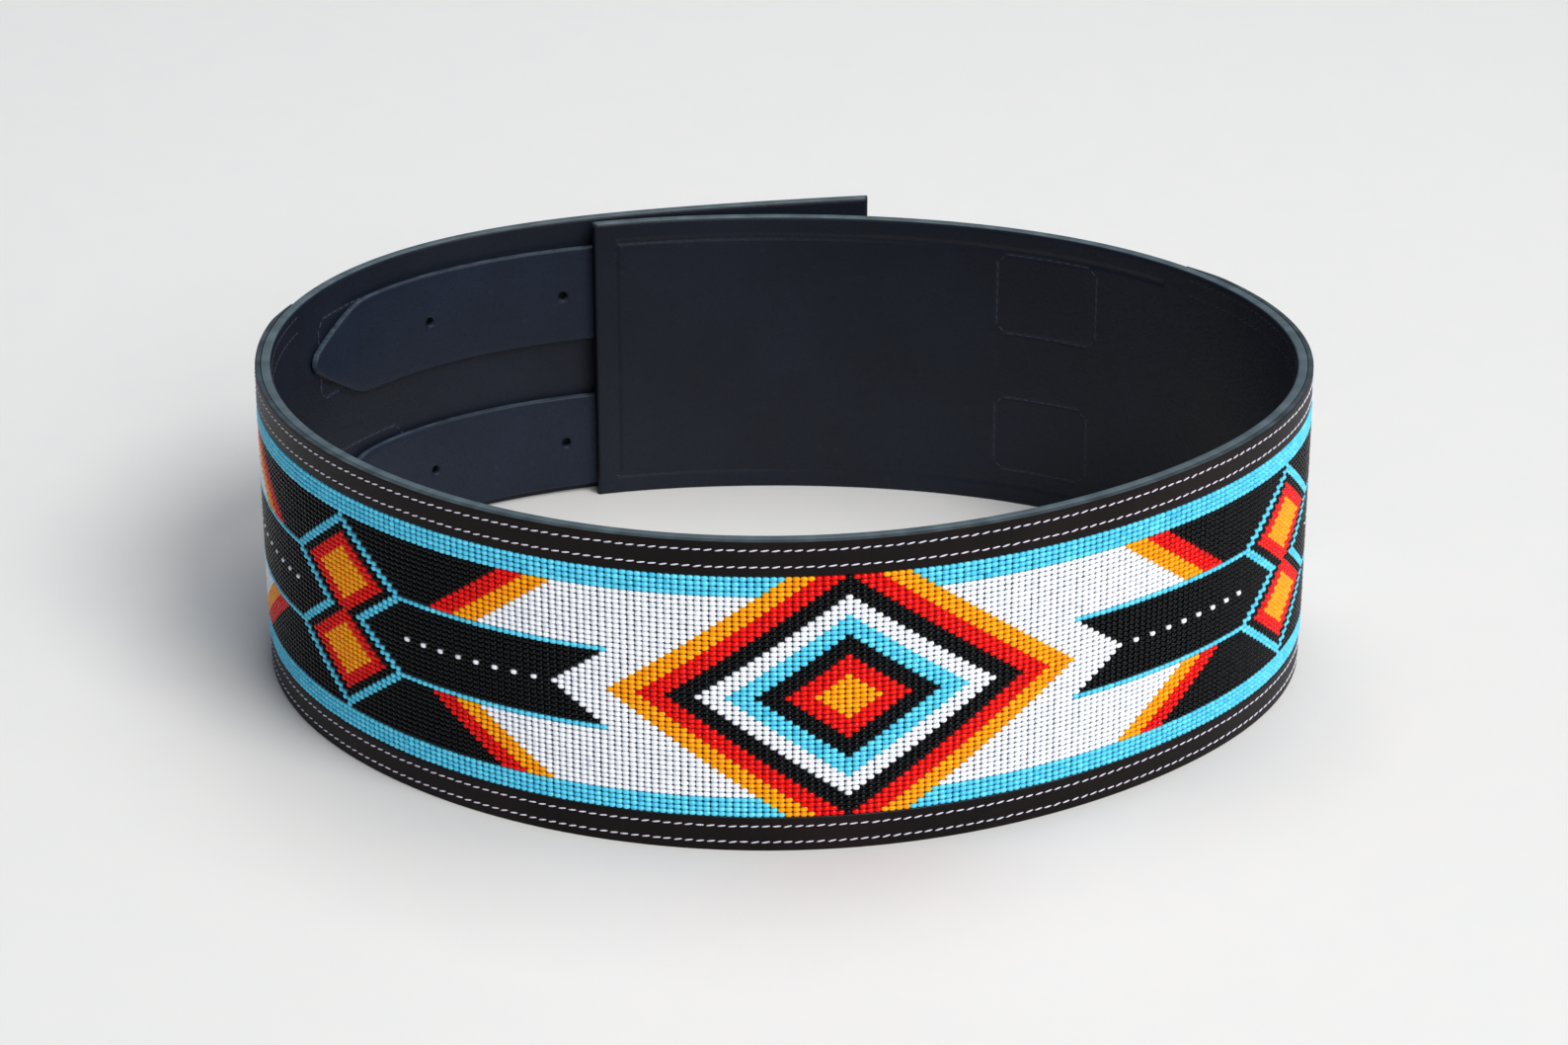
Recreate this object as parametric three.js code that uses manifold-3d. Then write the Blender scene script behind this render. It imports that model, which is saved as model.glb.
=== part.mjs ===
// A leather belt with a loomed bead panel, standing on its edge in a loop whose ends lap at the back.
// Millimetres and degrees, +Z up, the front centre of the beadwork towards -Y.
import * as THREE from 'three';
import { mergeVertices } from 'three/addons/utils/BufferGeometryUtils.js';
import Module from 'manifold-3d';

const wasm = await Module();
wasm.setup();

// Main sizes
const beltHeight = 100;
const beltLeather = 3.4;
const edgingLeather = 1.4;
const strapLeather = 2.4;
const clearance = 0.3;
const leatherEase = 0.7;
const edgingEase = 0.35;

// Beadwork: rows of seed beads one above the other, columns along the belt
const beadRows = 49;
const beadRowPitch = 1.588;
const beadColumns = 253;
const beadColumnPitch = 2.183;
const beadDepth = 1.9;
const edgingBeyondBeads = 22;
const skiveLength = 14;
const skivedLeather = 0.6;

// Loop seen from above: half sizes, and its reach at twelve bearings as shares of them
const loopHalfWidth = 160;
const loopHalfDepth = 130;
const outline = [
  { bearing: 0, reach: 1.065 },
  { bearing: 30, reach: 1.065 },
  { bearing: 60, reach: 1.025 },
  { bearing: 90, reach: 0.99 },
  { bearing: 120, reach: 1.015 },
  { bearing: 150, reach: 1.01 },
  { bearing: 180, reach: 0.975 },
  { bearing: 210, reach: 0.97 },
  { bearing: 240, reach: 0.995 },
  { bearing: 270, reach: 1.02 },
  { bearing: 300, reach: 1.005 },
  { bearing: 330, reach: 1.02 },
];

// Bearings along the belt, which runs clockwise from its inner end to its free tail
const innerEndBearing = 111.6;
const frontBearing = -81.7;
const tailEndBearing = -281.6;
const lapStartBearing = -130;
const lapFullBearing = -230;
const flareStartBearing = -235;
const flareSpan = 50;
const tailFlare = 16;
const flarePower = 2.6;
const bendStep = 3;

// Straps, sewn to the outer face of the inner end and tucked between the two ends
const strapWidth = 33.5;
const strapRootReach = 180;
const strapReach = 124;
const strapTipTaper = 28;
const strapTipWidth = 5;
const strapTipRise = 0.1;
const strapHoleRadius = 1.6;
const strapHoles = [{ fromTip: 61 }, { fromTip: 113 }];
const straps = [
  { name: 'upper', rootHeight: 0.77, freeHeight: 0.74 },
  { name: 'lower', rootHeight: 0.257, freeHeight: 0.197 },
];

// Buckles and their folded tabs, on the outer face of the tail
const buckleHeights = [
  { name: 'upper', height: 0.76 },
  { name: 'lower', height: 0.26 },
];
const tabWidth = 33;
const tabLeather = 2;
const tabStart = 306;
const tabLength = 50;
const tabFold = 28;
const tabBlend = 12;
const barRadius = 1.6;
const prongEye = 1;
const prongSlot = 6;
const buckleLength = 28;
const buckleRail = 3;
const buckleThickness = 2.4;
const buckleCorner = 7;
const prongWidth = 4;
const prongThickness = 2;

// Sizes that follow from those above
const beadBand = beadRows * beadRowPitch;
const beadReach = beadColumns * beadColumnPitch / 2;
const edgingHeight = (beltHeight - beadBand) / 2;
const edgingOutset = clearance + edgingLeather;
const lapStep = beltLeather + strapLeather + 2 * clearance;
const barOutset = clearance + tabLeather + clearance + barRadius;

// Smooth periodic curve through the outline's reaches
function loopReach(bearing) {
  const count = outline.length;
  let reach = 0;
  for (const row of outline) {
    const half = THREE.MathUtils.degToRad(bearing - row.bearing) / 2;
    const onRow = Math.abs(Math.sin(half)) < 1e-9;
    reach += row.reach * (onRow ? 1 : Math.sin(count * half) / (count * Math.tan(half)));
  }
  return reach;
}

function loopPoint(bearing) {
  const angle = THREE.MathUtils.degToRad(bearing);
  const reach = loopReach(bearing);
  return new THREE.Vector2(
    loopHalfWidth * reach * Math.cos(angle),
    loopHalfDepth * reach * Math.sin(angle),
  );
}

// A point beside a curve, outset to the left of the clockwise way round
function beside(curve, bearing, outset) {
  const along = curve(bearing - 0.01).sub(curve(bearing + 0.01)).normalize();
  return curve(bearing).add(new THREE.Vector2(-along.y, along.x).multiplyScalar(outset));
}

// How far the outer end has moved out to pass around the inner end and its straps
function lap(bearing) {
  const share = THREE.MathUtils.smoothstep(-bearing, -lapStartBearing, -lapFullBearing);
  return lapStep * share;
}

function flare(bearing) {
  return tailFlare * Math.max(0, (flareStartBearing - bearing) / flareSpan) ** flarePower;
}

const beltCurve = (bearing) => beside(loopPoint, bearing, lap(bearing) + flare(bearing));
const onBelt = (bearing, outset) => beside(beltCurve, bearing, outset - edgingOutset);
const onStrap = (bearing, outset) => {
  const inside = lap(bearing) - edgingOutset - beltLeather - clearance - strapLeather;
  return beside(loopPoint, bearing, inside + outset);
};

// Distances along the belt from its front centre, towards the tail
const tableStart = 180;
const tableEnd = -360;
const distances = [0];
for (let bearing = tableStart - 1; bearing >= tableEnd; bearing -= 1) {
  const step = beltCurve(bearing).distanceTo(beltCurve(bearing + 1));
  distances.push(distances.at(-1) + step);
}

function distanceAt(bearing) {
  const place = tableStart - bearing;
  const row = Math.min(Math.floor(place), distances.length - 2);
  return THREE.MathUtils.lerp(distances[row], distances[row + 1], place - row);
}

function bearingAt(distance) {
  const target = distanceAt(frontBearing) + distance;
  const row = distances.findIndex((value) => value > target) - 1;
  const share = (target - distances[row]) / (distances[row + 1] - distances[row]);
  return tableStart - row - share;
}

const distanceFrom = (bearing) => distanceAt(bearing) - distanceAt(frontBearing);

function cleaned(geometry) {
  geometry.deleteAttribute('normal');
  geometry.deleteAttribute('uv');
  const merged = mergeVertices(geometry, 1e-4);
  merged.computeVertexNormals();
  return merged;
}

// A strip of leather or beadwork: an eased section swept along the belt.
// place gives the plan point; near, far, low and high are its faces at a bearing.
function strip({ from, to, place, near, far, low, high, ease, extra = [] }) {
  const corner = 0.25;
  const section = new THREE.Shape([
    new THREE.Vector2(corner, 0),
    new THREE.Vector2(1 - corner, 0),
    new THREE.Vector2(1, corner),
    new THREE.Vector2(1, 1 - corner),
    new THREE.Vector2(1 - corner, 1),
    new THREE.Vector2(corner, 1),
    new THREE.Vector2(0, 1 - corner),
    new THREE.Vector2(0, corner),
  ]);
  const spread = (share, start, end, round) => {
    const outer = Math.min(share, corner) - Math.min(1 - share, corner) + corner;
    const inner = THREE.MathUtils.clamp((share - corner) / (1 - 2 * corner), 0, 1);
    return start + round * outer / corner + (end - start - 2 * round) * inner;
  };
  const steps = Math.ceil((from - to) / bendStep);
  const even = Array.from({ length: steps + 1 }, (unused, index) => from + (to - from) * index / steps);
  const kept = even.filter((value) => extra.every((other) => Math.abs(value - other) > bendStep / 3));
  const inside = extra.filter((value) => value < from && value > to);
  const stations = [...new Set([from, ...kept, ...inside, to])].sort((a, b) => b - a);
  const body = new THREE.ExtrudeGeometry(section, {
    depth: stations.length - 1,
    steps: stations.length - 1,
    bevelEnabled: false,
  });
  const position = body.attributes.position;
  for (let index = 0; index < position.count; index += 1) {
    const bearing = stations[Math.round(position.getZ(index))];
    const thickness = far(bearing) - near(bearing);
    const round = Math.min(ease, thickness * 0.4, (high(bearing) - low(bearing)) * 0.4);
    const outset = spread(position.getX(index), near(bearing), far(bearing), round);
    const height = spread(position.getY(index), low(bearing), high(bearing), round);
    const plan = place(bearing, outset);
    position.setXYZ(index, plan.x, plan.y, height);
  }
  return cleaned(body);
}

const always = (value) => () => value;

function toSolid(geometry) {
  const mesh = new wasm.Mesh({
    numProp: 3,
    vertProperties: new Float32Array(geometry.attributes.position.array),
    triVerts: new Uint32Array(geometry.index.array),
  });
  return new wasm.Manifold(mesh);
}

function toGeometry(solid) {
  const mesh = solid.getMesh();
  const geometry = new THREE.BufferGeometry();
  geometry.setAttribute('position', new THREE.BufferAttribute(mesh.vertProperties, 3));
  geometry.setIndex(new THREE.BufferAttribute(mesh.triVerts, 1));
  geometry.computeVertexNormals();
  return geometry;
}

// A frame that stands on the belt: X along it towards the tail, Y down, Z outwards
function standingFrame(place, bearing, outset, height) {
  const plan = place(bearing, outset);
  const ahead = place(bearing - 0.05, outset).sub(place(bearing + 0.05, outset)).normalize();
  const along = new THREE.Vector3(ahead.x, ahead.y, 0);
  const down = new THREE.Vector3(0, 0, -1);
  const out = new THREE.Vector3().crossVectors(along, down);
  const frame = new THREE.Matrix4().makeBasis(along, down, out);
  return frame.setPosition(plan.x, plan.y, height);
}

function leather(color, roughness) {
  return new THREE.MeshStandardMaterial({ color, roughness, metalness: 0 });
}

const group = new THREE.Group();
const addPiece = (name, geometry, material) => {
  const mesh = new THREE.Mesh(geometry, material);
  mesh.name = name;
  group.add(mesh);
};

// The main strap of black leather, from the inner end round to the free tail
addPiece('belt_body', strip({
  from: innerEndBearing,
  to: tailEndBearing,
  place: onBelt,
  near: always(-beltLeather),
  far: always(0),
  low: always(0),
  high: always(beltHeight),
  ease: leatherEase,
}), leather(0x20252c, 0.55));

// Edgings above and below the beadwork, pared thin towards their ends
const edgingReach = beadReach + edgingBeyondBeads;
const edgingFar = (bearing) => {
  const toEnd = edgingReach - Math.abs(distanceFrom(bearing));
  const share = THREE.MathUtils.clamp(toEnd / skiveLength, 0, 1);
  return clearance + THREE.MathUtils.lerp(skivedLeather, edgingLeather, share);
};
const edgings = [
  { name: 'edging_bottom', low: 0, high: edgingHeight - clearance / 2 },
  { name: 'edging_top', low: beltHeight - edgingHeight + clearance / 2, high: beltHeight },
];
for (const edging of edgings) {
  addPiece(edging.name, strip({
    from: bearingAt(-edgingReach),
    to: bearingAt(edgingReach),
    extra: [bearingAt(skiveLength - edgingReach), bearingAt(edgingReach - skiveLength)],
    place: onBelt,
    near: always(clearance),
    far: edgingFar,
    low: always(edging.low),
    high: always(edging.high),
    ease: edgingEase,
  }), leather(0x2a2122, 0.5));
}

// The loomed panel, one solid under its seed beads
addPiece('bead_panel', strip({
  from: bearingAt(-beadReach),
  to: bearingAt(beadReach),
  place: onBelt,
  near: always(clearance),
  far: always(clearance + beadDepth),
  low: always(edgingHeight + clearance / 2),
  high: always(beltHeight - edgingHeight - clearance / 2),
  ease: edgingEase,
}), new THREE.MeshStandardMaterial({ color: 0x5ac8f0, roughness: 0.2, metalness: 0 }));

// Straps with a pointed tip and two holes each
function strapBlank(strap, root, tip) {
  const tipDistance = distanceFrom(tip);
  const innerEnd = innerEndBearing - 360;
  const middle = (bearing) => {
    const share = THREE.MathUtils.clamp((bearing - root) / (innerEnd - root), 0, 1);
    return beltHeight * THREE.MathUtils.lerp(strap.rootHeight, strap.freeHeight, share);
  };
  const taper = (bearing) => {
    const fromTip = distanceFrom(bearing) - tipDistance;
    return THREE.MathUtils.clamp(fromTip / strapTipTaper, 0, 1);
  };
  const edge = (side) => (bearing) => {
    const point = side * strapTipWidth / 2 + strapTipRise * strapWidth;
    return middle(bearing) + THREE.MathUtils.lerp(point, side * strapWidth / 2, taper(bearing));
  };
  return strip({
    from: tip,
    to: root,
    extra: [bearingAt(tipDistance + strapTipTaper)],
    place: onStrap,
    near: always(0),
    far: always(strapLeather),
    low: edge(-1),
    high: edge(1),
    ease: leatherEase,
  });
}

function strapHole(strap, bearing) {
  const cutter = new THREE.CylinderGeometry(strapHoleRadius, strapHoleRadius, 4 * strapLeather, 16);
  cutter.rotateX(Math.PI / 2);
  const height = beltHeight * strap.freeHeight;
  cutter.applyMatrix4(standingFrame(onStrap, bearing, strapLeather / 2, height));
  return toSolid(cleaned(cutter));
}

const strapRoot = bearingAt(distanceFrom(innerEndBearing) + strapRootReach) - 360;
const strapTip = bearingAt(distanceFrom(innerEndBearing - 360) - strapReach);
for (const strap of straps) {
  let solid = toSolid(strapBlank(strap, strapRoot, strapTip));
  for (const hole of strapHoles) {
    const bearing = bearingAt(distanceFrom(strapTip) + hole.fromTip);
    solid = solid.subtract(strapHole(strap, bearing));
  }
  addPiece(`strap_${strap.name}`, toGeometry(solid), leather(0x262c34, 0.5));
}

// A tab folded round the buckle's bar: its outline seen from above, bent to the belt
const tabEnd = tabStart + tabLength;
function tabOutline() {
  const outline2d = [];
  const add = (distance, outset) => outline2d.push(onBelt(bearingAt(distance), outset));
  const base = clearance;
  const folded = base + 2 * tabLeather;
  const ring = barRadius + clearance + tabLeather;
  const pieces = 8;
  for (let index = 0; index < pieces; index += 1) {
    add(tabStart + tabLength * index / pieces, base);
  }
  for (let index = 0; index <= 2 * pieces; index += 1) {
    const angle = Math.PI * (index / (2 * pieces) - 0.5);
    add(tabEnd + ring * Math.cos(angle), barOutset + ring * Math.sin(angle));
  }
  add(tabEnd - tabBlend, folded);
  add(tabEnd - tabFold, folded);
  add(tabEnd - tabFold, base + tabLeather);
  add(tabStart + tabLength / pieces, base + tabLeather);
  add(tabStart, base + tabLeather);
  return outline2d;
}

function tabSolid(height) {
  const outer = new THREE.ExtrudeGeometry(new THREE.Shape(tabOutline()), {
    depth: tabWidth,
    bevelEnabled: false,
  });
  outer.translate(0, 0, height - tabWidth / 2);
  const frame = standingFrame(onBelt, bearingAt(tabEnd), barOutset, height);
  const eye = new THREE.CylinderGeometry(barRadius + clearance, barRadius + clearance, 2 * tabWidth, 16);
  eye.applyMatrix4(frame);
  const slotSize = 4 * (barRadius + clearance + tabLeather);
  const slotStart = barRadius + prongEye + clearance;
  const slot = new THREE.BoxGeometry(slotSize, prongSlot, slotSize);
  slot.translate(slotSize / 2 - slotStart, 0, slotSize / 2 - slotStart);
  slot.applyMatrix4(frame);
  return toSolid(cleaned(outer)).subtract(toSolid(cleaned(eye))).subtract(toSolid(cleaned(slot)));
}

// A plain buckle: a rounded frame, its bar in the tab's eye, and the prong, all one piece
function roundedRectangle(left, right, height, radius) {
  const half = height / 2;
  const shape = new THREE.Shape();
  shape.moveTo(left, -half);
  shape.lineTo(right - radius, -half);
  shape.absarc(right - radius, radius - half, radius, -Math.PI / 2, 0);
  shape.lineTo(right, half - radius);
  shape.absarc(right - radius, half - radius, radius, 0, Math.PI / 2);
  shape.lineTo(left, half);
  shape.closePath();
  return shape;
}

function buckleSolid(height) {
  const opening = tabWidth + 2;
  const rails = roundedRectangle(-barRadius, buckleLength, opening + 2 * buckleRail, buckleCorner);
  const window = roundedRectangle(
    -2 * barRadius,
    buckleLength - buckleRail,
    opening,
    buckleCorner - buckleRail,
  );
  const plate = (shape, thickness) => {
    const body = new THREE.ExtrudeGeometry(shape, {
      depth: thickness,
      bevelEnabled: false,
      curveSegments: 6,
    });
    return toSolid(cleaned(body.translate(0, 0, -thickness / 2)));
  };
  const bar = new THREE.CylinderGeometry(barRadius, barRadius, opening + buckleRail, 16);
  const prongLength = buckleLength + barRadius;
  const prong = new THREE.BoxGeometry(prongLength, prongWidth, prongThickness);
  prong.translate(prongLength / 2, 0, buckleThickness / 2 + prongThickness / 2 - clearance);
  const eyeRadius = barRadius + prongEye;
  const eye = new THREE.CylinderGeometry(eyeRadius, eyeRadius, prongWidth, 16);
  const solid = plate(rails, buckleThickness)
    .subtract(plate(window, 2 * buckleThickness))
    .add(toSolid(cleaned(bar)))
    .add(toSolid(cleaned(eye)))
    .add(toSolid(cleaned(prong)));
  const geometry = toGeometry(solid);
  return geometry.applyMatrix4(standingFrame(onBelt, bearingAt(tabEnd), barOutset, height));
}

const steel = new THREE.MeshStandardMaterial({ color: 0xb0b0ae, roughness: 0.3, metalness: 1 });
for (const buckle of buckleHeights) {
  const height = beltHeight * buckle.height;
  addPiece(`buckle_tab_${buckle.name}`, toGeometry(tabSolid(height)), leather(0x20252c, 0.55));
  addPiece(`buckle_${buckle.name}`, buckleSolid(height), steel);
}

// The origin is under the middle of the whole belt, on the surface that it stands on
const bounds = new THREE.Box3().setFromObject(group);
const middle = bounds.getCenter(new THREE.Vector3());
for (const mesh of group.children) {
  mesh.geometry.translate(-middle.x, -middle.y, -bounds.min.z);
}

export default group;
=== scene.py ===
# A leather belt with a loomed bead panel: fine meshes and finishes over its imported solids.
import math
import random

import bmesh
import bpy
import numpy
from mathutils import Matrix, Vector


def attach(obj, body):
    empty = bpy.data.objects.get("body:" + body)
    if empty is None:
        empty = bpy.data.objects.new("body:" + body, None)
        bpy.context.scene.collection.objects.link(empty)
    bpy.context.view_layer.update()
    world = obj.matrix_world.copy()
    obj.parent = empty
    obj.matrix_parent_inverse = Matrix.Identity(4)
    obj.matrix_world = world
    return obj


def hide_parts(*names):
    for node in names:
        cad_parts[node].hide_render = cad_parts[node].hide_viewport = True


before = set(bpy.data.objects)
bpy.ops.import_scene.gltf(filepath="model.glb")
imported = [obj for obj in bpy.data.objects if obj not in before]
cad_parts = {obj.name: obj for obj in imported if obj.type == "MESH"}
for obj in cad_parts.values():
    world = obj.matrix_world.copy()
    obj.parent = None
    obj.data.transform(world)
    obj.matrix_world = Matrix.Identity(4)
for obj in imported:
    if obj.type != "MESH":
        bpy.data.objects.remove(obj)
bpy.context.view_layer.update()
mm = 0.001
chance = random.Random(11)
print("frame loaded:", len(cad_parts), "solids")

# The belt's line seen from above, in millimetres and degrees, with the same values as its solids
belt = {
    "height": 100,
    "leather": 3.4,
    "edging": 1.4,
    "strap": 2.4,
    "clearance": 0.3,
    "halfWidth": 160,
    "halfDepth": 130,
    "reaches": (1.065, 1.065, 1.025, 0.99, 1.015, 1.01, 0.975, 0.97, 0.995, 1.02, 1.005, 1.02),
    "innerEnd": 111.6,
    "front": -81.7,
    "tailEnd": -281.6,
    "lapStart": -130,
    "lapFull": -230,
    "flareStart": -235,
    "flareSpan": 50,
    "tailFlare": 16,
    "flarePower": 2.6,
    "middle": (5.4032, 5.8296),
}
edgingOutset = belt["clearance"] + belt["edging"]
lapStep = belt["leather"] + belt["strap"] + 2 * belt["clearance"]


# A smooth closed curve through the reaches, which are shares of an oval
def loopReach(bearings):
    total = 0
    count = len(belt["reaches"])
    for index, reach in enumerate(belt["reaches"]):
        half = numpy.radians(bearings - 360 / count * index) / 2
        onRow = abs(numpy.sin(half)) < 1e-9
        level = numpy.where(onRow, 1, numpy.tan(half))
        total = total + reach * numpy.where(onRow, 1, numpy.sin(count * half) / (count * level))
    return total


def loopPoint(bearings):
    angles = numpy.radians(bearings)
    reach = loopReach(bearings)
    return numpy.stack([
        belt["halfWidth"] * reach * numpy.cos(angles),
        belt["halfDepth"] * reach * numpy.sin(angles),
    ], -1)


# Points that stand off a curve, on its outer side
def beside(curve, bearings, outsets):
    along = curve(bearings - 0.01) - curve(bearings + 0.01)
    along = along / numpy.linalg.norm(along, axis=-1, keepdims=True)
    side = numpy.stack([-along[..., 1], along[..., 0]], -1)
    return curve(bearings) + side * numpy.asarray(outsets)[..., None]


def lap(bearings):
    share = numpy.clip((belt["lapStart"] - bearings) / (belt["lapStart"] - belt["lapFull"]), 0, 1)
    return lapStep * share * share * (3 - 2 * share)


def flare(bearings):
    share = numpy.clip((belt["flareStart"] - bearings) / belt["flareSpan"], 0, None)
    return belt["tailFlare"] * share ** belt["flarePower"]


def beltCurve(bearings):
    return beside(loopPoint, bearings, lap(bearings) + flare(bearings))


# Distances along the belt from its front centre, towards the tail
tableBearings = numpy.arange(180, -360.1, -0.25)
tablePoints = beltCurve(tableBearings)
tableSteps = numpy.linalg.norm(numpy.diff(tablePoints, axis=0), axis=1)
tableDistances = numpy.concatenate([[0], numpy.cumsum(tableSteps)])
tableDistances -= numpy.interp(-belt["front"], -tableBearings, tableDistances)


def bearingAt(distances):
    return numpy.interp(distances, tableDistances, tableBearings)


def distanceAt(bearing):
    return float(numpy.interp(-bearing, -tableBearings, tableDistances))


def onBelt(distances, outsets):
    return beside(beltCurve, bearingAt(distances), outsets - edgingOutset)


def onStrap(distances, outsets):
    bearings = bearingAt(distances)
    inside = lap(bearings) - edgingOutset - belt["leather"] - belt["clearance"] - belt["strap"]
    return beside(loopPoint, bearings, inside + outsets)


# Bends a mesh that was laid out flat: X along the belt, Y outwards, Z up, in millimetres
def bend(mesh, place):
    flat = numpy.empty(len(mesh.vertices) * 3)
    mesh.vertices.foreach_get("co", flat)
    flat = flat.reshape(-1, 3)
    plan = place(flat[:, 0], flat[:, 1]) - numpy.array(belt["middle"])
    bent = numpy.column_stack([plan, flat[:, 2]]) * mm
    mesh.vertices.foreach_set("co", bent.ravel())
    mesh.update()


# A socket that can be written in sums: every operator adds its Math node
class Wire:
    def __init__(self, finish, socket):
        self.finish = finish
        self.socket = socket

    def sum(self, operation, first, second=0.0):
        return self.finish.add("ShaderNodeMath", {"operation": operation}, {0: first, 1: second})

    def __add__(self, other):
        return self.sum("ADD", self, other)

    def __radd__(self, other):
        return self.sum("ADD", other, self)

    def __sub__(self, other):
        return self.sum("SUBTRACT", self, other)

    def __rsub__(self, other):
        return self.sum("SUBTRACT", other, self)

    def __mul__(self, other):
        return self.sum("MULTIPLY", self, other)

    def __rmul__(self, other):
        return self.sum("MULTIPLY", other, self)

    def __abs__(self):
        return self.sum("ABSOLUTE", self)

    def most(self, other):
        return self.sum("MAXIMUM", self, other)

    def rise(self, low, high):
        settings = {"interpolation_type": "SMOOTHSTEP"}
        return self.finish.add(
            "ShaderNodeMapRange", settings, {"Value": self, "From Min": low, "From Max": high}
        )


# A material and the one method that adds its nodes
class Finish:
    def __init__(self, name):
        self.material = bpy.data.materials.new(name)
        self.material.use_nodes = True
        self.tree = self.material.node_tree
        self.tree.nodes.clear()
        self.object = self.add("ShaderNodeTexCoord", output="Object")

    def add(self, kind, settings=None, sockets=None, output=0):
        node = self.tree.nodes.new(kind)
        for key, value in (settings or {}).items():
            setattr(node, key, value)
        for key, value in (sockets or {}).items():
            if isinstance(value, Wire):
                self.tree.links.new(value.socket, node.inputs[key])
            else:
                node.inputs[key].default_value = value
        return Wire(self, node.outputs[output] if len(node.outputs) else None)

    def mix(self, factor, first, second):
        settings = {"data_type": "RGBA", "clamp_factor": True}
        return self.add("ShaderNodeMix", settings, {0: factor, 6: first, 7: second}, 2)

    def noise(self, scale, detail=2.0, where=None, roughness=0.5):
        sockets = {"Vector": where or self.object, "Scale": scale, "Detail": detail}
        return self.add("ShaderNodeTexNoise", None, {**sockets, "Roughness": roughness})

    def stretched(self, where, scale):
        return self.add("ShaderNodeMapping", None, {"Vector": where, "Scale": scale})

    def bump(self, height, distance):
        return self.add("ShaderNodeBump", None, {"Height": height, "Distance": distance})

    def surface(self, sockets):
        shader = self.add("ShaderNodeBsdfPrincipled", None, sockets)
        self.add("ShaderNodeOutputMaterial", None, {"Surface": shader})
        return self.material


# A screen colour as light, as the shader takes it
def tint(red, green, blue):
    light = [(part / 255 / 12.92) if part < 11 else ((part / 255 + 0.055) / 1.055) ** 2.4
             for part in (red, green, blue)]
    return (*light, 1.0)


# Pressed lines in the leather, each one (distance or height, value, from, to, width)
def groove(finish, flat, lines):
    parts = finish.add("ShaderNodeSeparateXYZ", None, {0: flat}).socket.node.outputs
    along = Wire(finish, parts[0])
    up = Wire(finish, parts[1])
    fade = 0.5 * mm
    total = None
    for axis, value, start, end, width in lines:
        across, run = (along, up) if axis == "distance" else (up, along)
        begun = run.rise(start * mm - fade, start * mm)
        ended = run.rise(end * mm, end * mm + fade)
        line = (1 - abs(across - value * mm).rise(0, width / 2 * mm)) * begun * (1 - ended)
        total = line if total is None else total.most(line)
    return total


# Leather: clouded dye, fine pores and a burnished rim where the attribute says so
def leatherFinish(name, look):
    finish = Finish(name)
    rim = finish.add("ShaderNodeAttribute", {"attribute_name": "rim"}, output="Fac")
    flat = finish.add("ShaderNodeUVMap", {"uv_map": "flat"})
    cloud = finish.noise(look["cloudScale"], 4.0)
    wear = finish.noise(look["wearScale"], 5.0, roughness=0.65)
    pores = finish.add(
        "ShaderNodeTexVoronoi", {"feature": "SMOOTH_F1"},
        {"Vector": finish.object, "Scale": look["poreScale"], "Smoothness": 0.6},
    )
    fibre = finish.noise(1.0, 3.0, finish.stretched(flat, look["fibreScale"]))
    dye = finish.mix(cloud.rise(0.35, 0.7), look["dark"], look["light"])
    dye = finish.mix(wear.rise(0.58, 0.8) * look["wearShade"], dye, look["worn"])
    dye = finish.mix(pores.rise(0.5, 0.85) * look["poreShade"], dye, look["pit"])
    edge = finish.mix(fibre.rise(0.3, 0.75), look["rimDark"], look["rimLight"])
    burnished = rim.rise(look["rimFrom"], look["rimTo"])
    rough = look["roughness"] + (cloud - 0.5) * 0.12 + (pores - 0.5) * 0.08
    height = (pores * -0.6 + wear * 0.35) * (1 - burnished) + fibre * burnished * 0.5
    if "grooves" in look:
        marks = groove(finish, flat, look["marks"])
        # Lighter tint along the box lines: painted sheen on the pressed leather, and wear
        dye = finish.mix(marks * look["markSheenAndWearShare"], dye, look["markSheenAndWear"])
        pressed = groove(finish, flat, look["grooves"]) + marks * look["markDepth"]
        height = height - pressed * look["grooveDepth"]
    return finish.surface({
        "Base Color": finish.mix(burnished, dye, edge),
        "Roughness": rough + burnished * look["rimRoughness"],
        "Specular IOR Level": look["gloss"],
        "Normal": finish.bump(height, look["poreDepth"]),
    })


innerEnd = distanceAt(belt["innerEnd"])
tailEnd = distanceAt(belt["tailEnd"])

# Boxes of stitches that hold the straps and the tabs: from, to, low, high
boxes = {
    "strapBoxes": (
        (innerEnd + 141, innerEnd + 178, 63, 91.5),
        (innerEnd + 141, innerEnd + 175.5, 12.5, 39.4),
    ),
    "tabBoxes": ((309, 351, 62, 90), (309, 351, 12, 40)),
    "corner": 3,
    "pitch": 3.3,
    "length": 2.5,
    "thick": 0.55,
    "slant": 6,
    "proud": 0.02,
    "markWidth": 2.4,
}
allBoxes = (*boxes["strapBoxes"], *boxes["tabBoxes"])


# The leather pressed in under a box's sides, without its cut corners; the finish paints these lines
# lighter, as painted sheen and wear
def boxMarks(start, end, low, high):
    cut = boxes["corner"]
    width = boxes["markWidth"]
    return (
        ("distance", start, low + cut, high - cut, width),
        ("distance", end, low + cut, high - cut, width),
        ("height", low, start + cut, end - cut, width),
        ("height", high, start + cut, end - cut, width),
    )


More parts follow.
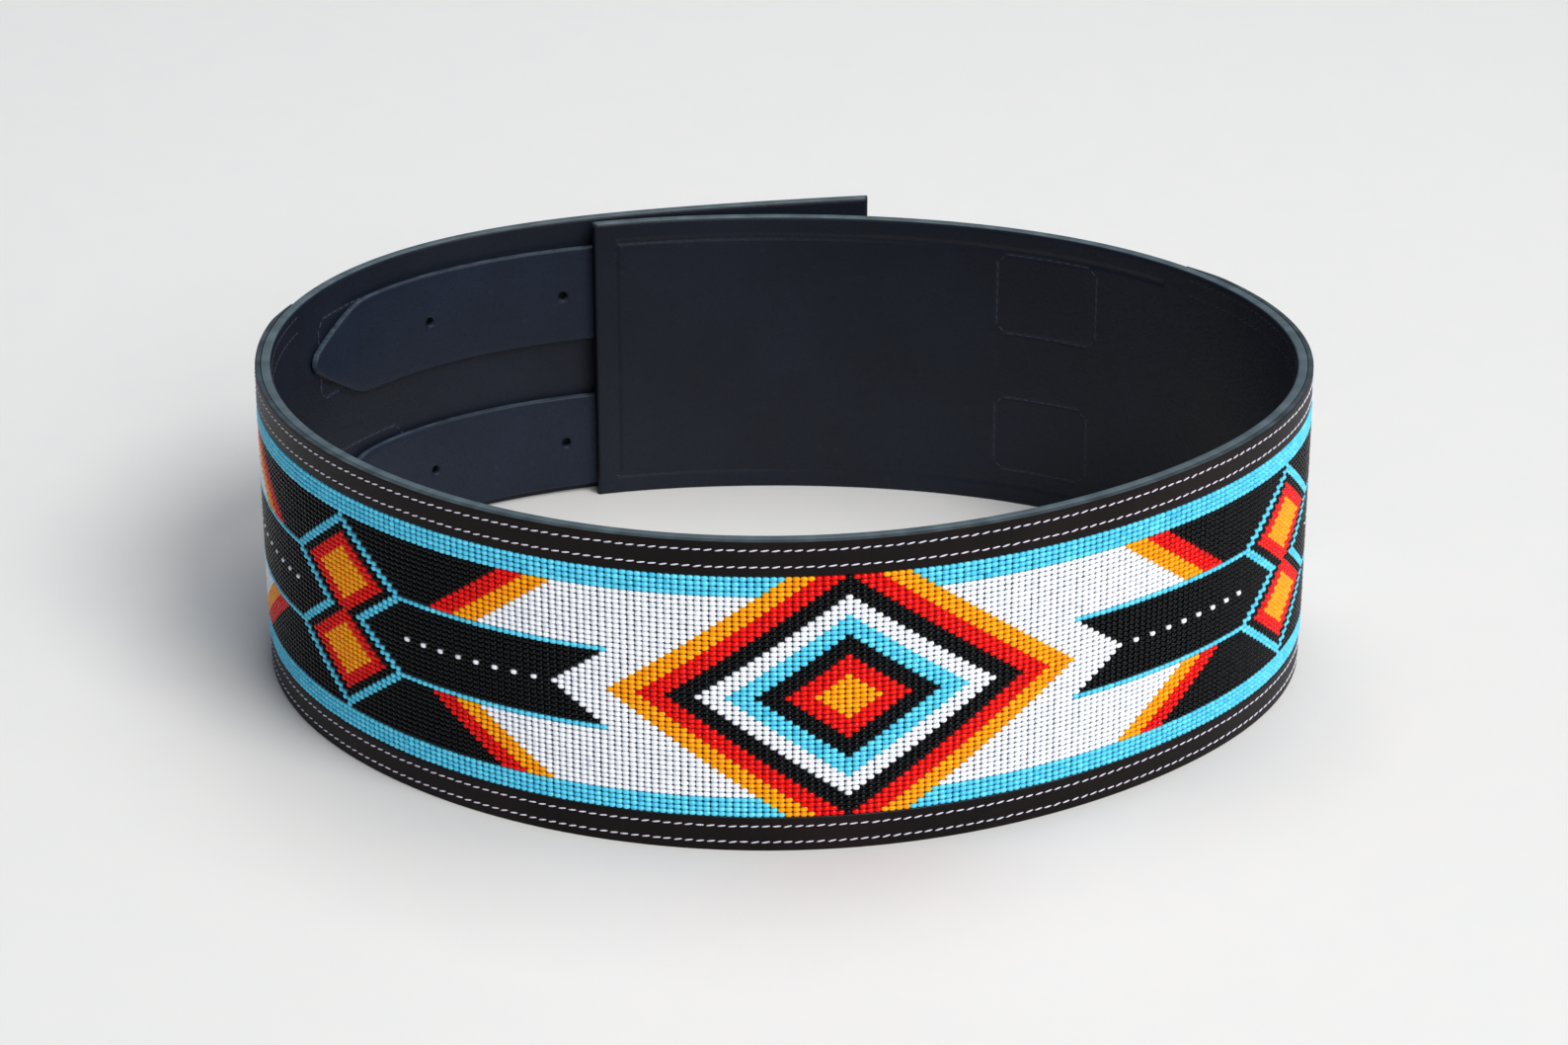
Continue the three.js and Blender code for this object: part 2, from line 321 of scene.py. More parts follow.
# The pressed border of the plain panel at the inner end
border = {
    "from": innerEnd + 7.5,
    "to": innerEnd + 205,
    "low": 7,
    "high": 93,
    "width": 3.6,
}
leatherLook = {
    "pit": tint(8, 9, 12),
    "rimFrom": 0.6,
    "rimTo": 0.95,
    "rimRoughness": -0.06,
    "cloudScale": 28,
    "wearScale": 260,
    "wearShade": 0.5,
    "poreShade": 0.35,
    "fibreScale": (120, 1500, 1),
}
beltLook = {
    **leatherLook,
    "dark": tint(13, 18, 29),
    "light": tint(17, 23, 36),
    "worn": tint(29, 36, 52),
    "rimDark": tint(63, 76, 82),
    "rimLight": tint(86, 100, 105),
    "poreScale": 950,
    "poreDepth": 0.00012,
    "roughness": 0.5,
    "gloss": 0.25,
    # The box lines' lighter tint: painted sheen and wear
    "markSheenAndWear": tint(38, 42, 58),
    "markSheenAndWearShare": 0.6,
    "markDepth": 0.4,
    "grooveDepth": 3.2,
    "grooves": (
        ("distance", border["from"], border["low"], border["high"], border["width"]),
        ("height", border["low"], border["from"], border["to"], border["width"]),
        ("height", border["high"], border["from"], border["to"], border["width"]),
    ),
    "marks": [line for box in allBoxes for line in boxMarks(*box)],
}
edgingLook = {
    **leatherLook,
    "dark": tint(16, 10, 10),
    "light": tint(25, 17, 17),
    "worn": tint(36, 28, 27),
    "rimDark": tint(44, 52, 56),
    "rimLight": tint(70, 81, 86),
    "poreScale": 1200,
    "poreDepth": 0.00008,
    "roughness": 0.45,
    "gloss": 0.11,
}
strapLook = {
    **edgingLook,
    "dark": tint(18, 26, 40),
    "light": tint(22, 31, 47),
    "worn": tint(36, 46, 62),
    "rimDark": tint(42, 53, 63),
    "rimLight": tint(66, 79, 90),
    "rimFrom": 0.4,
    "rimTo": 0.85,
    "roughness": 0.48,
    "gloss": 0.22,
}
beltLeather = leatherFinish("black_belt_leather", beltLook)
edgingLeather = leatherFinish("brown_black_edging_leather", edgingLook)
strapLeather = leatherFinish("blue_black_strap_leather", strapLook)
print("leather finishes made")


# Seed beads: glass with a little of their own tone each, read from the bead's attribute
def beadFinish(name, look):
    finish = Finish(name)
    own = finish.add("ShaderNodeAttribute", {"attribute_name": "shade"}, output="Fac")
    dust = finish.noise(420, 3.0)
    swirl = finish.noise(900, 2.0)
    color = finish.mix(own, look["dark"], look["light"])
    color = finish.mix(swirl.rise(0.5, 0.8) * 0.18, color, look["light"])
    return finish.surface({
        "Base Color": color,
        "Roughness": look["roughness"] + dust.rise(0.45, 0.75) * 0.06 + own * 0.04,
        "Specular IOR Level": look["gloss"],
        "Subsurface Weight": look["depth"],
        "Subsurface Radius": (0.6, 0.6, 0.6),
        "Subsurface Scale": 0.0006,
        "Normal": finish.bump(swirl, 0.00002),
    })


plainGlass = {"depth": 0.0, "roughness": 0.08, "gloss": 0.42}
beadLooks = {
    "blue": {"dark": tint(58, 184, 222), "light": tint(108, 224, 248), "gloss": 0.32},
    "white": {"dark": tint(226, 230, 238), "light": tint(250, 251, 255), "depth": 0.15},
    "black": {"dark": tint(2, 3, 4), "light": tint(5, 6, 8), "gloss": 0.15, "roughness": 0.04},
    "red": {"dark": tint(208, 4, 2), "light": tint(246, 14, 6), "gloss": 0.22},
    "orange": {"dark": tint(248, 142, 0), "light": tint(255, 176, 2), "gloss": 0.22},
}
beadFinishes = {
    name: beadFinish(name + "_glass", {**plainGlass, **look}) for name, look in beadLooks.items()
}


# Thread: plies wound round it, seen as fine slanted ridges, with painted shade in the grooves
# between the plies
def threadFinish(name, look):
    finish = Finish(name)
    flat = finish.add("ShaderNodeUVMap", {"uv_map": "flat"})
    turned = finish.add(
        "ShaderNodeMapping", None, {"Vector": flat, "Rotation": (0, 0, math.radians(look["lay"]))}
    )
    plies = finish.add("ShaderNodeTexWave", None, {"Vector": turned, "Scale": look["plies"]})
    fuzz = finish.noise(2500, 3.0)
    # The dark tint between the plies is painted shade; the light tint is the thread's own colour
    color = finish.mix(plies, look["dark"], look["light"])
    color = finish.mix(fuzz.rise(0.5, 0.8) * 0.3, color, look["dark"])
    return finish.surface({
        "Base Color": color,
        "Roughness": 0.6 + fuzz * 0.2,
        "Normal": finish.bump(plies + fuzz * 0.4, 0.00008),
    })


# Each thread's dark tint is the painted shade between its plies
whiteLook = {"dark": tint(190, 182, 204), "light": tint(252, 248, 255), "plies": 700, "lay": 35}
blackLook = {"dark": tint(26, 28, 34), "light": tint(50, 54, 64), "plies": 700, "lay": 35}
whiteThread = threadFinish("lilac_white_thread", whiteLook)
blackThread = threadFinish("dull_black_thread", blackLook)


# Loom threads behind the beads: warps along the belt, wefts across it
def loomFinish(name, look):
    finish = Finish(name)
    flat = finish.add("ShaderNodeUVMap", {"uv_map": "flat"})
    warps, wefts = (
        finish.add("ShaderNodeTexWave", {"bands_direction": axis}, {"Vector": flat, "Scale": scale})
        for axis, scale in (("Y", look["warps"]), ("X", look["wefts"]))
    )
    fuzz = finish.noise(1800, 3.0)
    weave = warps.most(wefts)
    color = finish.mix(weave, look["dark"], look["light"])
    return finish.surface({
        "Base Color": finish.mix(fuzz * 0.5, color, look["dark"]),
        "Roughness": 0.75 + fuzz * 0.15,
        "Normal": finish.bump(weave + fuzz * 0.3, 0.0002),
    })


loomLook = {"dark": tint(12, 15, 20), "light": tint(52, 62, 74), "warps": 100, "wefts": 73}
loomThread = loomFinish("dark_loom_thread", loomLook)


# Brushed steel for the buckles
def steelFinish(name, look):
    finish = Finish(name)
    brushed = finish.noise(1.0, 4.0, finish.stretched(finish.object, look["brush"]))
    smudge = finish.noise(90, 3.0)
    return finish.surface({
        "Base Color": finish.mix(smudge.rise(0.35, 0.7), look["dark"], look["light"]),
        "Metallic": 1.0,
        "Roughness": look["roughness"] + brushed * 0.12 + smudge * 0.08,
        "Normal": finish.bump(brushed, 0.00003),
    })


steelLook = {
    "dark": tint(170, 170, 168),
    "light": tint(206, 205, 202),
    "roughness": 0.18,
    "brush": (300, 300, 4000),
}
buckleSteel = steelFinish("brushed_steel", steelLook)
print("bead, thread and steel finishes made")


# Turns a flat bmesh into a finished piece that stands for its solids
def addPiece(name, flat, place, material, nodes=()):
    flatMap = flat.loops.layers.uv.new("flat")
    for face in flat.faces:
        face.smooth = True
        for loop in face.loops:
            loop[flatMap].uv = (loop.vert.co.x * mm, loop.vert.co.z * mm)
    mesh = bpy.data.meshes.new(name)
    flat.to_mesh(mesh)
    flat.free()
    return addMesh(name, mesh, place, material, nodes)


def addMesh(name, mesh, place, material, nodes=()):
    if place:
        bend(mesh, place)
    mesh.materials.clear()
    mesh.materials.append(material)
    piece = bpy.data.objects.new(name, mesh)
    bpy.context.scene.collection.objects.link(piece)
    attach(piece, "root")
    if nodes:
        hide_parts(*nodes)
    return piece


# Marks a flat strip's rim: 0 on its broad faces, 1 on its long edges, and on its ends if asked
def markRim(flat, withEnds=True):
    rim = flat.verts.layers.float.get("rim") or flat.verts.layers.float.new("rim")
    flat.normal_update()
    for vert in flat.verts:
        vert[rim] = 1 - abs(vert.normal.y) if withEnds else abs(vert.normal.z)


# Even steps between two values, with a short step at each end
def stations(start, end, step, short):
    span = end - start - 2 * short
    count = math.ceil(span / step)
    inside = [start + short + span * index / count for index in range(count + 1)]
    return [start, *inside, end]


# A flat strip of leather; near, far, low and high follow the distance, and ease rounds the near and
# far edges. Where the strip is narrower than its full width, its rows spread evenly
def leatherStrip(distances, rows, near, far, low, high, ease, fullWidth=1):
    flat = bmesh.new()
    bmesh.ops.create_grid(flat, x_segments=len(distances) - 1, y_segments=len(rows) - 1, size=0.5)
    bmesh.ops.rotate(flat, verts=flat.verts, matrix=Matrix.Rotation(math.radians(90), 3, "X"))
    backs = list(flat.verts)
    pushed = bmesh.ops.extrude_face_region(flat, geom=flat.faces[:])["geom"]
    fronts = set(part for part in pushed if isinstance(part, bmesh.types.BMVert))
    for vert in [*backs, *fronts]:
        distance = distances[round((vert.co.x + 0.5) * (len(distances) - 1))]
        row = round((vert.co.z + 0.5) * (len(rows) - 1))
        bottom, top = low(distance), high(distance)
        narrow = 1 - min((top - bottom) / fullWidth, 1)
        share = rows[row] + (row / (len(rows) - 1) - rows[row]) * narrow
        outset = far(distance) if vert in fronts else near(distance)
        vert.co = (distance, outset, bottom + (top - bottom) * share)
    bmesh.ops.recalc_face_normals(flat, faces=flat.faces)
    for face, offset in zip((near, far), ease):
        corners = []
        for edge in flat.edges:
            middle = (edge.verts[0].co + edge.verts[1].co) / 2
            if edge.calc_face_angle(0) > 1 and abs(middle.y - face(middle.x)) < 0.05:
                corners.append(edge)
        bmesh.ops.bevel(
            flat, geom=corners, offset=offset, offset_type="OFFSET", affect="EDGES",
            segments=3, profile=0.5, material=-1, clamp_overlap=True,
        )
    return flat


def always(value):
    return lambda distance: value


# Main strap
mainStrap = {
    "step": 2.4,
    "short": 1.8,
    "rows": (0, 0.018, 0.35, 0.65, 0.982, 1),
    "ease": (1.0, 0.4),
}
body = leatherStrip(
    stations(innerEnd, tailEnd, mainStrap["step"], mainStrap["short"]), mainStrap["rows"],
    always(-belt["leather"]), always(0), always(0), always(belt["height"]), mainStrap["ease"],
)
markRim(body, withEnds=False)
addPiece("belt_leather", body, onBelt, beltLeather, ["belt_body"])
print("main strap made")

# Edgings, pared thin at their ends, with two rows of white stitches each
beadwork = {
    "rows": 49,
    "columns": 253,
    "rowPitch": 1.588,
    "columnPitch": 2.183,
    "across": 2.46,
    "tall": 1.6,
    "deep": 1.8,
    "outset": 1.15,
    "frontColumns": 63,
}
beadReach = beadwork["columns"] * beadwork["columnPitch"] / 2
beadBand = beadwork["rows"] * beadwork["rowPitch"]
edging = {
    "height": (belt["height"] - beadBand) / 2,
    "beyond": 22,
    "skive": 14,
    "skived": 0.1,
    "underside": 0.04,
    "step": 2.4,
    "short": 1.5,
    "rows": (0, 0.09, 0.5, 0.91, 1),
    "ease": (0.05, 0.5),
    "stitchPitch": 3.23,
    "stitchLength": 2.6,
    "stitchThick": 0.5,
    "stitchHeights": (2.95, 8.2, 92.1, 97.3),
    "stitchInset": 4,
    "stitchLift": 0.04,
    "sunkInside": 0.08,
    "slant": 9,
}
edgingReach = beadReach + edging["beyond"]


def edgingFar(distance):
    share = min(max((edgingReach - abs(distance)) / edging["skive"], 0), 1)
    return belt["clearance"] + edging["skived"] + (belt["edging"] - edging["skived"]) * share


for name, low, high in (
    ("edging_bottom", 0, edging["height"] - belt["clearance"] / 2),
    ("edging_top", belt["height"] - edging["height"] + belt["clearance"] / 2, belt["height"]),
):
    strip = leatherStrip(
        stations(-edgingReach, edgingReach, edging["step"], edging["short"]), edging["rows"],
        always(edging["underside"]), edgingFar, always(low), always(high), edging["ease"],
    )
    markRim(strip, withEnds=False)
    addPiece(name + "_leather", strip, onBelt, edgingLeather, [name])


# One stitch, its ends pulled into the leather
def stitchShape(length, thick):
    shape = bmesh.new()
    bmesh.ops.create_uvsphere(shape, u_segments=6, v_segments=5, radius=0.5)
    bmesh.ops.rotate(shape, verts=shape.verts, matrix=Matrix.Rotation(math.radians(90), 3, "Y"))
    bmesh.ops.scale(shape, verts=shape.verts, vec=(length, thick, thick))
    mesh = bpy.data.meshes.new("stitch")
    shape.to_mesh(mesh)
    shape.free()
    return mesh


# Joins copies of a small shape, each set by its own matrix
def joinCopies(shape, settings):
    joined = bmesh.new()
    for setting in settings:
        shape.transform(setting)
        joined.from_mesh(shape, face_normals=False, vertex_normals=False)
        shape.transform(setting.inverted())
    return joined


# How far a stitch made by hand strays, in millimetres and degrees
handStray = {"distance": 0.05, "height": 0.04, "turn": 2.5}


def stitchRun(start, end, pitch, outset, slant):
    run = Vector(end) - Vector(start)
    count = max(round(run.length / pitch), 1)
    heading = math.atan2(run.y, run.x)
    for index in range(count):
        middle = Vector(start) + run * (index + 0.5) / count
        shift = Vector([chance.gauss(0, handStray[axis]) for axis in ("distance", "height")])
        turn = heading + math.radians(slant + chance.gauss(0, handStray["turn"]))
        place = Matrix.Translation((middle.x + shift.x, outset(middle.x), middle.y + shift.y))
        yield place @ Matrix.Rotation(-turn, 4, "Y")


# A box of stitches with its corners cut off
def stitchBox(start, end, low, high, outset):
    cut = boxes["corner"]
    corners = [
        (start + cut, low), (end - cut, low), (end, low + cut), (end, high - cut),
        (end - cut, high), (start + cut, high), (start, high - cut), (start, low + cut),
    ]
    for first, second in zip(corners, [*corners[1:], corners[0]]):
        yield from stitchRun(first, second, boxes["pitch"], always(outset), boxes["slant"])


whiteStitch = stitchShape(edging["stitchLength"], edging["stitchThick"])
stitchReach = edgingReach - edging["stitchInset"]
whiteRows = []
for height in edging["stitchHeights"]:
    whiteRows += stitchRun(
        (-stitchReach, height), (stitchReach, height), edging["stitchPitch"],
        lambda distance: edgingFar(distance) + edging["stitchLift"], -edging["slant"],
    )
stitches = joinCopies(whiteStitch, whiteRows)
addPiece("edging_stitches", stitches, onBelt, whiteThread)
print("edgings and their stitches made")

# Black stitches on the inside: behind the edgings, and in the boxes that hold straps and tabs
blackStitch = stitchShape(boxes["length"], boxes["thick"])
inner = -belt["leather"] - boxes["proud"]
blackRows = []
for height in edging["stitchHeights"]:
    blackRows += stitchRun(
        (-stitchReach, height), (stitchReach, height), edging["stitchPitch"],
        always(inner + edging["sunkInside"]), edging["slant"],
    )
for box in allBoxes:
    blackRows += stitchBox(*box, inner)
stitches = joinCopies(blackStitch, blackRows)
addPiece("inside_stitches", stitches, onBelt, blackThread)
print("inside stitches made")


# The bead chart, counted from the middle bead; the design mirrors about it both ways
def beadColour(column, row):
    row = abs(row)
    column = abs(column)
    if column > 122:  # the plain field behind the sides
        return "blue"
    column = min(column, 154 - column)  # the design turns back halfway to the next diamond
    ring = column + row
    if ring <= 32:  # the large diamond, in eight rings
        rings = ("orange", "red", "black", "blue", "white", "black", "red", "orange")
        return rings[max(ring - 1, 0) // 4]
    if row >= 21:
        return "blue"
    pair = abs(column - 77) + abs(row - 8)  # from the middle of a small diamond
    if pair <= 12:
        return "orange" if pair <= 5 else "red" if pair <= 8 else "black" if pair <= 10 else "blue"
    if row < 8:  # the dark bar with its dots
        dot = row == 0 and column % 3 == 1 and 43 <= column <= 64
        return "white" if ring <= 40 or dot else "black"
    if row == 8 and ring > 40:
        return "blue"
    return "white" if ring <= 60 else "orange" if ring <= 64 else "red" if ring <= 68 else "black"


# One bead, hole upwards: its profile spun round the front, and once across the hidden back
def beadShape():
    shape = bmesh.new()
    profile = ((0.28, -0.5), (0.8, -0.34), (1, 0), (0.8, 0.34), (0.28, 0.5))
    front = math.radians(204)
    first = Matrix.Rotation(math.radians(-12), 3, "Z")
    verts = [shape.verts.new(first @ Vector((radius, 0, height))) for radius, height in profile]
    edges = [shape.edges.new(pair) for pair in zip(verts, verts[1:])]
    spun = bmesh.ops.spin(
        shape, geom=[*verts, *edges], cent=(0, 0, 0), axis=(0, 0, 1), angle=front, steps=5
    )
    bmesh.ops.spin(
        shape, geom=spun["geom_last"], cent=(0, 0, 0), axis=(0, 0, 1),
        angle=2 * math.pi - front, steps=1,
    )
    bmesh.ops.remove_doubles(shape, verts=shape.verts, dist=0.01)
    bmesh.ops.holes_fill(shape, edges=shape.edges, sides=8)
    bmesh.ops.recalc_face_normals(shape, faces=shape.faces)
    bmesh.ops.scale(
        shape, verts=shape.verts,
        vec=(beadwork["across"] / 2, beadwork["deep"] / 2, beadwork["tall"]),
    )
    mesh = bpy.data.meshes.new("bead")
    shape.to_mesh(mesh)
    shape.free()
    mesh.attributes.new("shade", "FLOAT", "POINT")
    return mesh


# How unevenly the beads lie, in millimetres and degrees, and how their size and tone vary
beadStray = {
    "wave": 0.05,
    "waveTurn": 1.7,
    "column": 0.02,
    "along": 0.035,
    "out": 0.03,
    "up": 0.02,
    "turn": 3,
    "size": 0.02,
    "tone": 0.16,
}
beadMesh = beadShape()
groups = {}
halfColumns = beadwork["columns"] // 2
halfRows = beadwork["rows"] // 2
for column in range(-halfColumns, halfColumns + 1):
    wave = beadStray["wave"] * math.sin(column * beadStray["waveTurn"])
    sway = wave + chance.gauss(0, beadStray["column"])
    part = "front" if abs(column) <= beadwork["frontColumns"] else "side"
    for row in range(-halfRows, halfRows + 1):
        place = Matrix.Translation((
            column * beadwork["columnPitch"] + sway + chance.gauss(0, beadStray["along"]),
            beadwork["outset"] + chance.gauss(0, beadStray["out"]),
            belt["height"] / 2 + row * beadwork["rowPitch"] + chance.gauss(0, beadStray["up"]),
        ))
        turn = Matrix.Rotation(math.radians(chance.gauss(0, beadStray["turn"])), 4, "Y")
        wide = chance.gauss(1, beadStray["size"])
        tall = chance.gauss(1, beadStray["size"])
        size = Matrix.Diagonal((wide, 1, tall, 1))
        groups.setdefault((beadColour(column, row), part), []).append(place @ turn @ size)
for (colour, part), settings in sorted(groups.items()):
    joined = bmesh.new()
    own = beadMesh.attributes["shade"].data
    for setting in settings:
        tone = min(max(chance.gauss(0.5, beadStray["tone"]), 0), 1)
        own.foreach_set("value", [tone] * len(own))
        beadMesh.transform(setting)
        joined.from_mesh(beadMesh, face_normals=False, vertex_normals=False)
        beadMesh.transform(setting.inverted())
    nodes = ["bead_panel"] if (colour, part) == ("white", "front") else []
    addPiece(f"{colour}_beads_{part}", joined, onBelt, beadFinishes[colour], nodes)
    print("beads placed:", colour, part, len(settings))

# The loom's threads behind the beads
backing = {
    "inset": 0.4,
    "margin": 0.2,
    "near": 0.04,
    "far": 0.95,
    "step": 2.4,
    "short": 1,
    "rows": (0, 0.02, 0.98, 1),
    "ease": (0.1, 0.2),
}
backingReach = beadReach - backing["inset"]
woven = leatherStrip(
    stations(-backingReach, backingReach, backing["step"], backing["short"]), backing["rows"],
    always(backing["near"]), always(backing["far"]), always(edging["height"] + backing["margin"]),
    always(belt["height"] - edging["height"] - backing["margin"]), backing["ease"],
)
addPiece("loom_backing", woven, onBelt, loomThread)
print("beadwork made")

# Straps: pointed tips, two punched holes each
strap = {
    "width": 33.5,
    "rootReach": 180,
    "reach": 124,
    "upper": (0.77, 0.74),  # the heights of its root and its free end, as shares of the belt's
    "lower": (0.257, 0.197),
    "taper": 28,
    "shoulder": 0.14,
    "tipWidth": 5,
    "tipRise": 0.1,
    "tipStart": 0.45,
    "tipSpan": 3,
    "tipSteps": (0, 0.8, 1.8, 3),
    "leastShare": 0.002,
    "holes": (61, 113),
    "holeRadius": 1.6,
    "holeLip": 0.35,
    "holeSteps": 20,
    "holeGuard": 3,
    "step": 2,
    "short": 1.2,
    "rows": (0, 0.08, 0.92, 1),
    "ease": (0.7, 0.5),
}
innerOnOuter = distanceAt(belt["innerEnd"] - 360)
strapRoot = distanceAt(float(bearingAt(innerEnd + strap["rootReach"])) - 360)
strapTip = innerOnOuter - strap["reach"]


# A punch with flared ends, which eases the hole's lips
def holePunch(distance, height):
    punch = bmesh.new()
    thick = belt["strap"]
    lip = strap["holeLip"]
    radius = strap["holeRadius"]
    wide = radius + lip
    profile = ((0, -thick), (wide, -thick), (wide, 0), (radius, lip),
               (radius, thick - lip), (wide, thick), (wide, 2 * thick), (0, 2 * thick))
    verts = [punch.verts.new((distance + reach, outset, height)) for reach, outset in profile]
    edges = [punch.edges.new(pair) for pair in zip(verts, verts[1:])]
    bmesh.ops.spin(
        punch, geom=[*verts, *edges], cent=(distance, 0, height), axis=(0, 1, 0),
        angle=2 * math.pi, steps=strap["holeSteps"], use_merge=True,
    )
    bmesh.ops.remove_doubles(punch, verts=punch.verts, dist=0.001)
    bmesh.ops.recalc_face_normals(punch, faces=punch.faces)
    return punch


def cutAway(flat, punches):
    made = []
    for source in (flat, punches):
        mesh = bpy.data.meshes.new("blank")
        source.to_mesh(mesh)
        source.free()
        made.append(bpy.data.objects.new("blank", mesh))
        bpy.context.scene.collection.objects.link(made[-1])
    cut = made[0].modifiers.new("holes", "BOOLEAN")
    cut.operation = "DIFFERENCE"
    cut.solver = "EXACT"
    cut.object = made[1]
    evaluated = made[0].evaluated_get(bpy.context.evaluated_depsgraph_get())
    result = bpy.data.meshes.new_from_object(evaluated)
    for blank in made:
        bpy.data.objects.remove(blank)
    whole = bmesh.new()
    whole.from_mesh(result)
    return whole


for name in ("upper", "lower"):
    rootHeight, freeHeight = (belt["height"] * share for share in strap[name])

    def middleAt(distance):
        share = min(max((strapRoot - distance) / (strapRoot - innerOnOuter), 0), 1)
        return rootHeight + (freeHeight - rootHeight) * share

    def edgeAt(side):
        def height(distance):
            share = (distance - strapTip) / strap["taper"]
            share = (share + 1 - math.hypot(share - 1, strap["shoulder"])) / 2 + strap["leastShare"]
            share = min(max(share, 0), 1)
            rounded = min(1, strap["tipStart"] + (distance - strapTip) / strap["tipSpan"])
            tip = side * strap["tipWidth"] / 2 * rounded + strap["tipRise"] * strap["width"]
            return middleAt(distance) + tip + (side * strap["width"] / 2 - tip) * share
        return height

    near = [strapTip + step for step in strap["tipSteps"]]
    along = near[:-1] + stations(near[-1], strapRoot, strap["step"], strap["short"])
    flat = leatherStrip(
        along, strap["rows"], always(0), always(belt["strap"]), edgeAt(-1), edgeAt(1),
        strap["ease"], strap["width"],
    )
    # Guard lines above and below the holes keep the leather round them smooth
    for level in (freeHeight - strap["holeGuard"], freeHeight + strap["holeGuard"]):
        bmesh.ops.bisect_plane(
            flat, geom=[*flat.verts, *flat.edges, *flat.faces],
            plane_co=(0, 0, level), plane_no=(0, 0, 1),
        )
    punches = bmesh.new()
    for fromTip in strap["holes"]:
        one = bpy.data.meshes.new("punch")
        punch = holePunch(strapTip + fromTip, freeHeight)
        punch.to_mesh(one)
        punch.free()
        punches.from_mesh(one)
    flat = cutAway(flat, punches)
    # Rim colour also goes on the punched holes' walls and lips: the strap's edge colour, with a
    # painted highlight on the lips
    markRim(flat)
    addPiece(
        f"strap_{name}_leather", flat, onStrap, strapLeather, [f"strap_{name}"]
    )
print("straps made")

# The strap boxes' stitches come out on the straps' roots, one turn further round
rootRows = []
lapped = strapRoot - strap["rootReach"] - innerEnd
for start, end, low, high in boxes["strapBoxes"]:
    rootRows += stitchBox(start + lapped, end + lapped, low, high, belt["strap"] + boxes["proud"])
stitches = joinCopies(blackStitch, rootRows)
addPiece("strap_root_stitches", stitches, onStrap, blackThread)

# Tabs with two boxes of stitches each, and their buckles
tab = {
    "ease": 0.4,
    "steelEase": 0.6,
    "flatAngle": 2,
    "sharpAngle": 40,
    "boxHeights": {"upper": (62.5, 89.5), "lower": (12.5, 39.5)},
    "boxRuns": ((309, 325.5, 2.32), (330.5, 342, 4.32)),  # from, to, outset
}


# A finer copy of a solid: its triangles joined and its sharp edges rounded
def easedCopy(name, node, ease, material):
    flatAngle = math.radians(tab["flatAngle"])
    sharpAngle = math.radians(tab["sharpAngle"])
    copy = bmesh.new()
    copy.from_mesh(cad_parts[node].data)
    bmesh.ops.remove_doubles(copy, verts=copy.verts, dist=0.01 * mm)
    bmesh.ops.dissolve_limit(copy, angle_limit=flatAngle, verts=copy.verts, edges=copy.edges)
    sharp = [edge for edge in copy.edges if edge.calc_face_angle(0) > sharpAngle]
    bmesh.ops.bevel(
        copy, geom=sharp, offset=ease * mm, offset_type="OFFSET", affect="EDGES",
        segments=2, profile=0.5, material=-1, clamp_overlap=True,
    )
    for face in copy.faces:
        face.smooth = True
    mesh = bpy.data.meshes.new(name)
    copy.to_mesh(mesh)
    copy.free()
    mesh.set_sharp_from_angle(angle=sharpAngle)
    return addMesh(name, mesh, None, material, [node])


tabRows = []
for name, (low, high) in tab["boxHeights"].items():
    easedCopy(
        f"tab_{name}_leather", f"buckle_tab_{name}", tab["ease"], beltLeather
    )
    easedCopy(
        f"buckle_{name}_steel", f"buckle_{name}", tab["steelEase"], buckleSteel
    )
    for start, end, outset in tab["boxRuns"]:
        tabRows += stitchBox(start, end, low, high, outset)
stitches = joinCopies(blackStitch, tabRows)
addPiece("tab_stitches", stitches, onBelt, blackThread)
print("buckles and tabs made")

# Camera where the photograph was taken from
view = {
    "eye": (-5.403, -1204.68, 606.07),
    "target": (0.029, -5.83, 44.008),
    "roll": -0.0016,
    "lens": 95.88,
    "sensor": 36,
    "farthest": 50,
}
camera = bpy.data.objects.new("camera", bpy.data.cameras.new("camera"))
bpy.context.scene.collection.objects.link(camera)
camera.data.lens = view["lens"]
camera.data.sensor_width = view["sensor"]
camera.data.clip_end = view["farthest"]
eye = Vector(view["eye"]) * mm
look = Vector(view["target"]) * mm - eye
turn = look.to_track_quat("-Z", "Y").to_matrix().to_4x4() @ Matrix.Rotation(view["roll"], 4, "Z")
camera.matrix_world = Matrix.Translation(eye) @ turn
bpy.context.scene.camera = camera

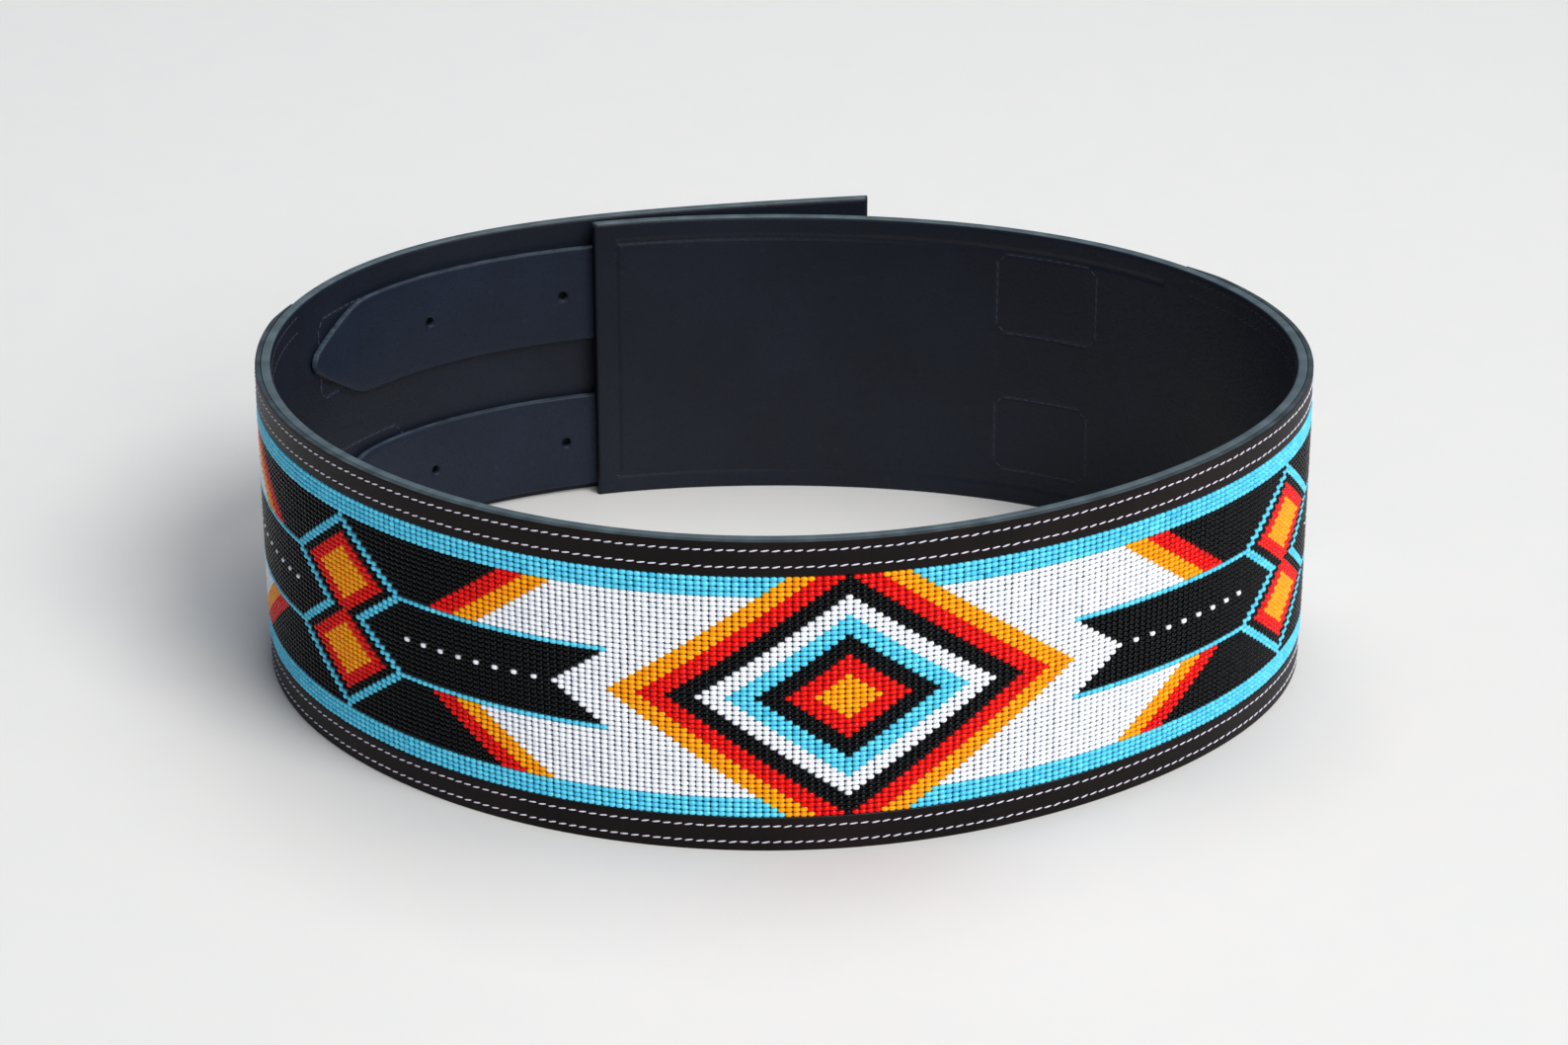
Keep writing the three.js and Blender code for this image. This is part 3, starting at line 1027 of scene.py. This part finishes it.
# Pale floor and soft light
studio = {
    "floorSize": 40,
    "floorDark": tint(220, 219, 216),
    "floorLight": tint(224, 221, 216),
    "sky": tint(212, 226, 250),
    "skyStrength": 0.25,
    "aim": (0, 0, 0.04),
    "lamps": (  # name, place, size, power
        ("overhead", (0.2, 0.5, 1.7), (1.2, 1.0), 12),
        ("front", (0.5, -1.7, 1.0), (0.5, 0.5), 9),
        ("side", (2.0, -1.6, 1.6), (2.0, 1.6), 20),
    ),
    "sun": {"from": (0.78, -0.76, 1.27), "spread": 26, "strength": 2.1},
}
ground = bmesh.new()
bmesh.ops.create_grid(ground, x_segments=1, y_segments=1, size=studio["floorSize"])
mesh = bpy.data.meshes.new("floor")
ground.to_mesh(mesh)
ground.free()
floor = bpy.data.objects.new("floor", mesh)
bpy.context.scene.collection.objects.link(floor)
paint = Finish("pale_floor")
speckle = paint.noise(60, 4.0)
mesh.materials.append(paint.surface({
    "Base Color": paint.mix(speckle, studio["floorDark"], studio["floorLight"]),
    "Roughness": 0.55 + speckle * 0.1,
}))
world = bpy.data.worlds.new("studio")
world.use_nodes = True
world.node_tree.nodes["Background"].inputs["Color"].default_value = studio["sky"]
world.node_tree.nodes["Background"].inputs["Strength"].default_value = studio["skyStrength"]
bpy.context.scene.world = world


# Hangs a lamp so that it shines in the direction given
def hangLamp(name, lamp, place, direction):
    holder = bpy.data.objects.new(name, lamp)
    holder.location = place
    holder.rotation_euler = direction.to_track_quat("-Z", "Y").to_euler()
    bpy.context.scene.collection.objects.link(holder)


for name, place, size, power in studio["lamps"]:
    lamp = bpy.data.lights.new(name, "AREA")
    lamp.shape = "RECTANGLE"
    lamp.size, lamp.size_y = size
    lamp.energy = power
    hangLamp(name, lamp, place, Vector(studio["aim"]) - Vector(place))
sun = bpy.data.lights.new("window", "SUN")
sun.energy = studio["sun"]["strength"]
sun.angle = math.radians(studio["sun"]["spread"])
hangLamp("window", sun, (0, 0, 0), -Vector(studio["sun"]["from"]))
bpy.context.scene.view_settings.view_transform = "Standard"
print("camera, floor and lights set")
